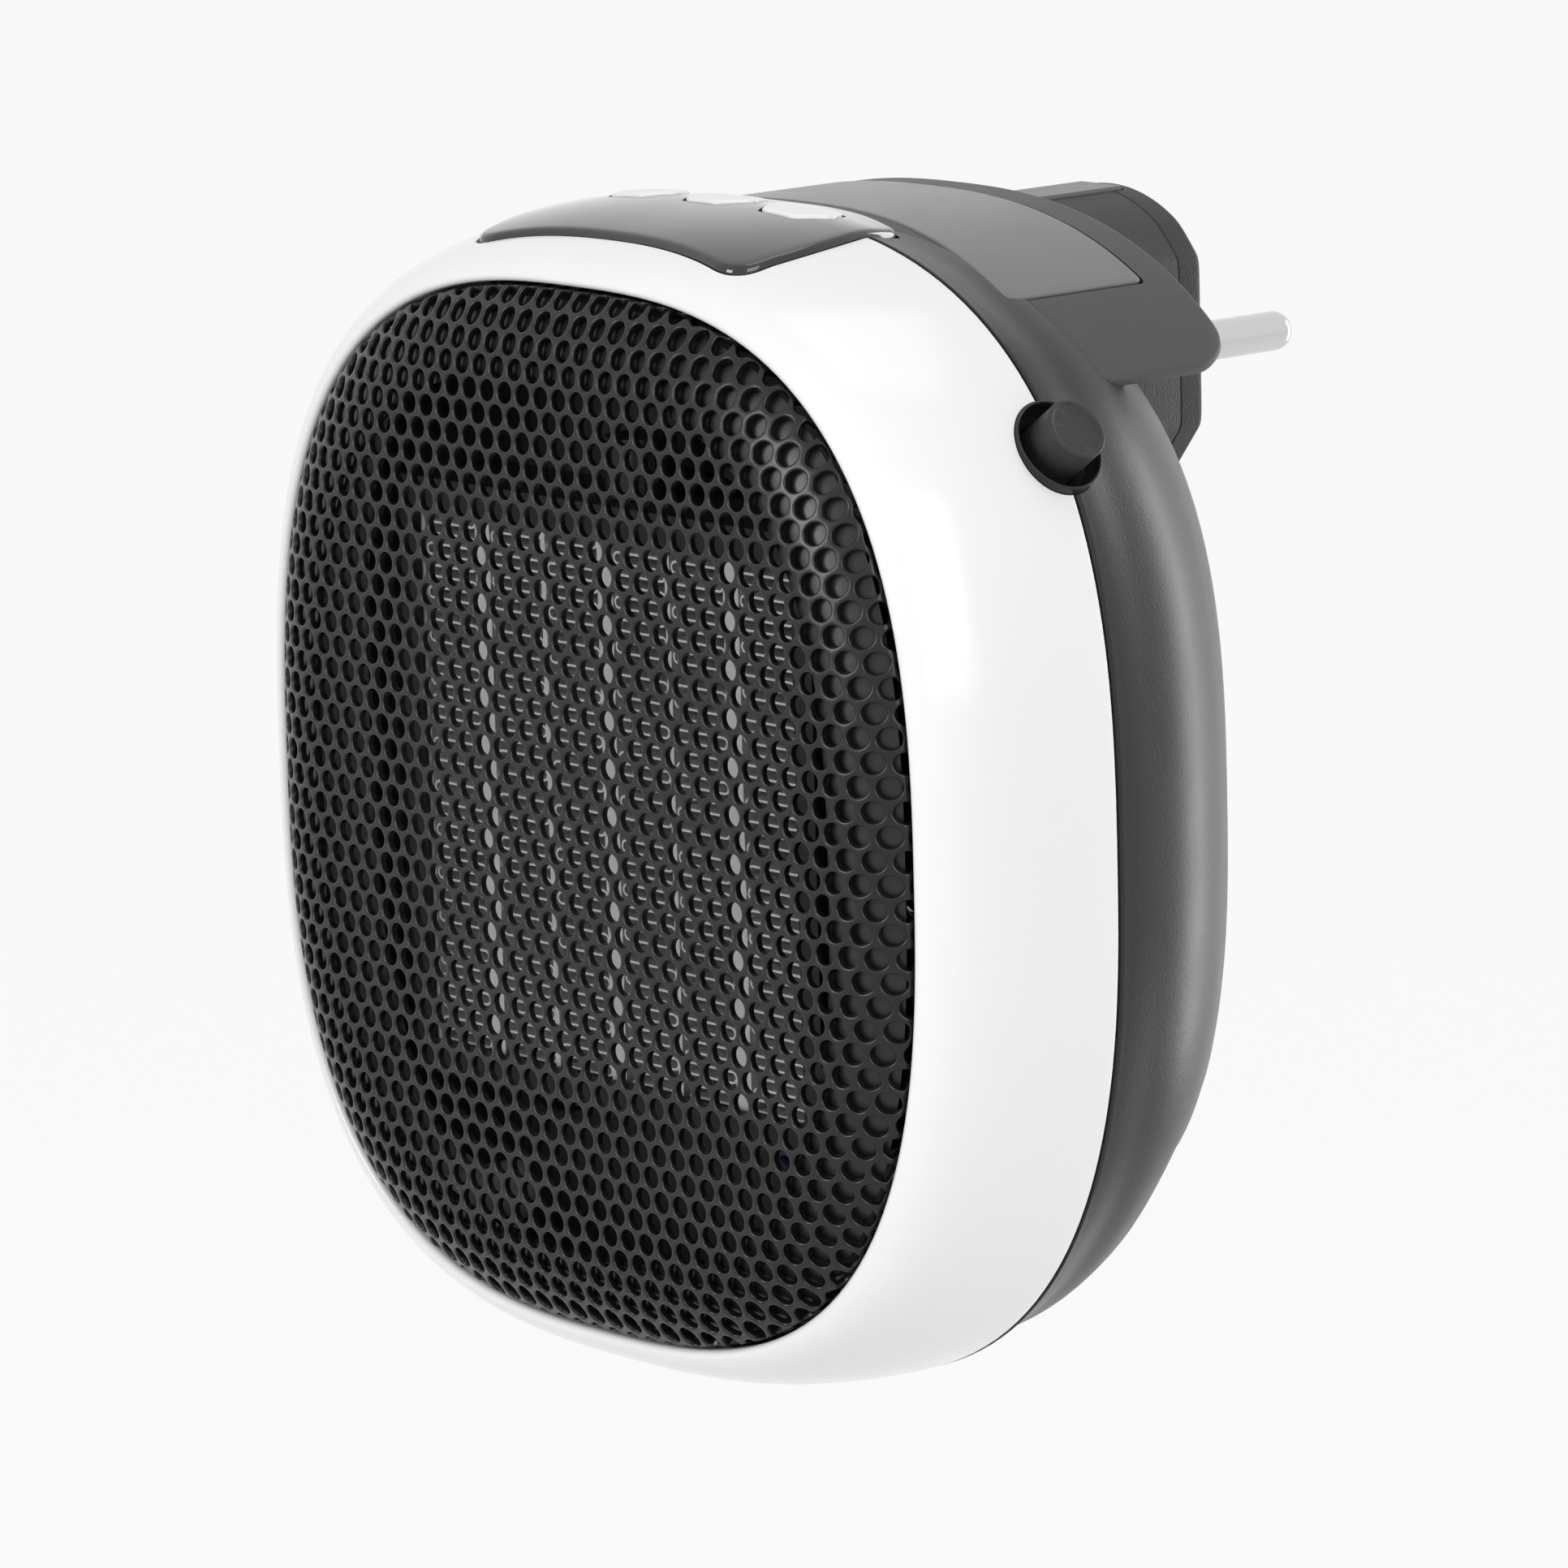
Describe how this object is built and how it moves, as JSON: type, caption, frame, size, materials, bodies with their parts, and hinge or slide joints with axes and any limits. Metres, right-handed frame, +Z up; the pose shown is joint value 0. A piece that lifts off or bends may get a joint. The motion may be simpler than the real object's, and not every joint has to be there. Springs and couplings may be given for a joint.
{
  "type": "plug-in fan heater",
  "caption": "Compact fan heater that hangs on a wall socket by its own turning plug, with a perforated front grille, keys on top and a power button at the side.",
  "frame": {"origin": "centre of the plug's flat face, between the two pins", "axes": "+Y out of the plug face along the pins and into the wall socket, -Y out of the front grille, +Z up, +X to the right as seen from the front"},
  "size_m": [0.1274, 0.1103, 0.1384],
  "materials": {
    "shell_white": "gloss white moulding, lightly orange-peeled",
    "shell_grey": "dark grey satin moulding with fine grain",
    "grille_black": "semi-gloss black powder coat on perforated sheet",
    "panel_black": "high gloss black",
    "label_grey": "dark grey satin film",
    "key_pale": "pale satin keycap",
    "display_black": "smoked window",
    "cup_grey": "dark grey satin, edge worn brighter",
    "button_black": "matt black",
    "frame_black": "matt black heat-resistant moulding",
    "core_aluminium": "bright rolled strip",
    "fan_plastic": "matt dark moulding",
    "shroud_grey": "matt mid grey moulding",
    "steel_zinc": "zinc plated steel",
    "plug_black": "matt black, finely grained",
    "pin_nickel": "bright nickel plate",
    "board_green": "green solder resist",
    "relay_blue": "blue sealed case",
    "capacitor_yellow": "yellow box capacitor",
    "switch_black": "matt black",
    "lead_brown": "brown silicone insulation",
    "lead_blue": "blue silicone insulation"
  },
  "bodies": {
    "plug": {"plug_body": "plug_black", "plug_face": "plug_black", "plug_retainer": "steel_zinc", "pin_left": "pin_nickel", "pin_right": "pin_nickel", "earth_clip_top": "pin_nickel", "earth_clip_bottom": "pin_nickel"},
    "housing": {"front_shell": "shell_white", "front_grille": "grille_black", "rear_shell": "shell_grey", "label_strip": "label_grey", "control_panel": "panel_black", "key_switch_left": "switch_black", "key_switch_middle": "switch_black", "key_switch_right": "switch_black", "control_board": "board_green", "display_module": "display_black", "switch_cup": "cup_grey", "switch_body": "switch_black", "core_frame": "frame_black", "heater_bar_1": "core_aluminium", "heater_bar_2": "core_aluminium", "heater_bar_3": "core_aluminium", "terminal_1": "steel_zinc", "terminal_2": "steel_zinc", "terminal_3": "steel_zinc", "fin_pack_1": "core_aluminium", "fin_pack_2": "core_aluminium", "fin_pack_3": "core_aluminium", "fin_pack_4": "core_aluminium", "fin_pack_5": "core_aluminium", "fin_pack_6": "core_aluminium", "divider_plate_1": "core_aluminium", "divider_plate_2": "core_aluminium", "end_plate_left": "core_aluminium", "end_plate_right": "core_aluminium", "thermal_cutout": "steel_zinc", "fan_shroud": "shroud_grey", "motor_body": "steel_zinc", "power_board": "board_green", "relay": "relay_blue", "capacitor": "capacitor_yellow", "plug_lead_left": "lead_brown", "plug_lead_right": "lead_blue", "heater_lead_left": "lead_brown", "heater_lead_right": "lead_blue", "case_screw_1": "steel_zinc", "case_screw_2": "steel_zinc", "case_screw_3": "steel_zinc", "case_screw_4": "steel_zinc"},
    "fan": {"fan_impeller": "fan_plastic", "motor_shaft": "steel_zinc"},
    "power_button": {"power_button": "button_black"},
    "key_left": {"key_left": "key_pale"},
    "key_middle": {"key_middle": "key_pale"},
    "key_right": {"key_right": "key_pale"}
  },
  "joints": [
    {"name": "plug_turn", "type": "hinge", "parent": "plug", "child": "housing", "pos_m": [0, 0, 0], "axis": [0, 1, 0], "range_deg": [-135, 135]},
    {"name": "fan_spin", "type": "hinge", "parent": "housing", "child": "fan", "pos_m": [0, -0.0587, -0.0457], "axis": [0, 1, 0], "continuous": true},
    {"name": "power_press", "type": "slide", "parent": "housing", "child": "power_button", "axis": [-0.811, 0, -0.585], "range_m": [0, 0.0015], "stiffness_N_per_m": 900, "springref_m": -0.001},
    {"name": "key_left_press", "type": "slide", "parent": "housing", "child": "key_left", "axis": [0, 0, -1], "range_m": [0, 0.0005], "stiffness_N_per_m": 1500, "springref_m": -0.0005},
    {"name": "key_middle_press", "type": "slide", "parent": "housing", "child": "key_middle", "axis": [0, 0, -1], "range_m": [0, 0.0005], "stiffness_N_per_m": 1500, "springref_m": -0.0005},
    {"name": "key_right_press", "type": "slide", "parent": "housing", "child": "key_right", "axis": [0, 0, -1], "range_m": [0, 0.0005], "stiffness_N_per_m": 1500, "springref_m": -0.0005}
  ]
}
